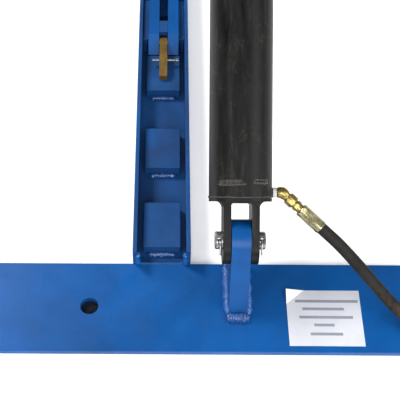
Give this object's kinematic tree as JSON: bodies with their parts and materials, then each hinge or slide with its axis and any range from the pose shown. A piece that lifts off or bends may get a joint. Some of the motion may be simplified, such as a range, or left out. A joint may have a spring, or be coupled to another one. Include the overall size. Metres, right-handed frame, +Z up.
{
  "type": "pinned hydraulic lift cylinder on a locking base frame",
  "caption": "Steel cross plate and stop-block channel with a sliding lock carriage and pawl, and a pinned hydraulic cylinder fed by a flexible hose.",
  "frame": {"origin": "centre of the cross plate's underside, on the floor", "axes": "+X along the cross plate to the hose side, +Y along the channel away from the plate, +Z up"},
  "size_m": [0.8962, 0.752, 0.4461],
  "materials": {
    "blue_paint": "glossy blue enamel with weld spatter",
    "black_paint": "thin black enamel over drawn tube, rubbed",
    "bright_steel": "machined, lightly oiled",
    "chromed_rod": "hard chrome",
    "zinc_steel": "yellow passivated zinc",
    "zinc_pawl": "dull yellow zinc on flame cut steel",
    "brass_fitting": "dull brass colour",
    "thread_tape": "white thread tape",
    "seal_rubber": "matt",
    "hose_rubber": "cloth-marked cover",
    "blank_label": "plain pale film"
  },
  "bodies": {
    "base": {"base_plate": "blue_paint", "rack_channel": "blue_paint", "channel_sill": "blue_paint", "stop_block_1": "blue_paint", "stop_block_2": "blue_paint", "stop_block_3": "blue_paint", "stop_block_4": "blue_paint", "label_plate": "blank_label", "lug_plate": "blue_paint", "lug_bush": "zinc_steel", "clevis_pin": "bright_steel", "split_pin_left": "bright_steel", "split_pin_right": "bright_steel", "hose_lead": "hose_rubber", "hose_coil": "hose_rubber", "hose_tail": "hose_rubber", "far_ferrule": "zinc_steel", "far_nut": "brass_fitting"},
    "barrel": {"clevis_end_cap": "black_paint", "barrel_tube": "black_paint", "gland_head": "black_paint", "rod_seal": "seal_rubber", "rod_wiper": "seal_rubber", "port_adapter": "thread_tape", "elbow_fitting": "brass_fitting", "swivel_nut": "brass_fitting", "hose_stem": "brass_fitting", "crimp_ferrule": "zinc_steel"},
    "rod": {"piston_rod": "chromed_rod", "piston": "bright_steel", "piston_seal": "seal_rubber", "piston_nut": "bright_steel", "rod_eye": "black_paint", "rod_eye_bush": "zinc_steel"},
    "carriage": {"carriage_cheek_left": "blue_paint", "carriage_cheek_right": "blue_paint", "carriage_bridge": "blue_paint", "pawl_pivot_pin": "bright_steel", "arm_mount_plate": "blue_paint", "guide_shoe_left": "blue_paint", "guide_shoe_right": "blue_paint"},
    "pawl": {"lock_pawl": "zinc_pawl", "lift_rod": "bright_steel", "lift_rod_collar": "bright_steel"}
  },
  "joints": [
    {"name": "cylinder_pivot", "type": "hinge", "parent": "base", "child": "barrel", "pos_m": [0.0495, 0.0578, 0.0882], "axis": [1, 0, 0], "range_deg": [-28, 30], "deforming": ["hose_lead"]},
    {"name": "rod_stroke", "type": "slide", "parent": "barrel", "child": "rod", "axis": [0, 0.8339, 0.5519], "range_m": [0, 0.3]},
    {"name": "carriage_travel", "type": "slide", "parent": "base", "child": "carriage", "axis": [0, 1, 0], "range_m": [-0.24, 0.04]},
    {"name": "pawl_lift", "type": "hinge", "parent": "carriage", "child": "pawl", "pos_m": [-0.0535, 0.467, 0.0315], "axis": [-1, 0, 0], "range_deg": [0, 40]}
  ]
}
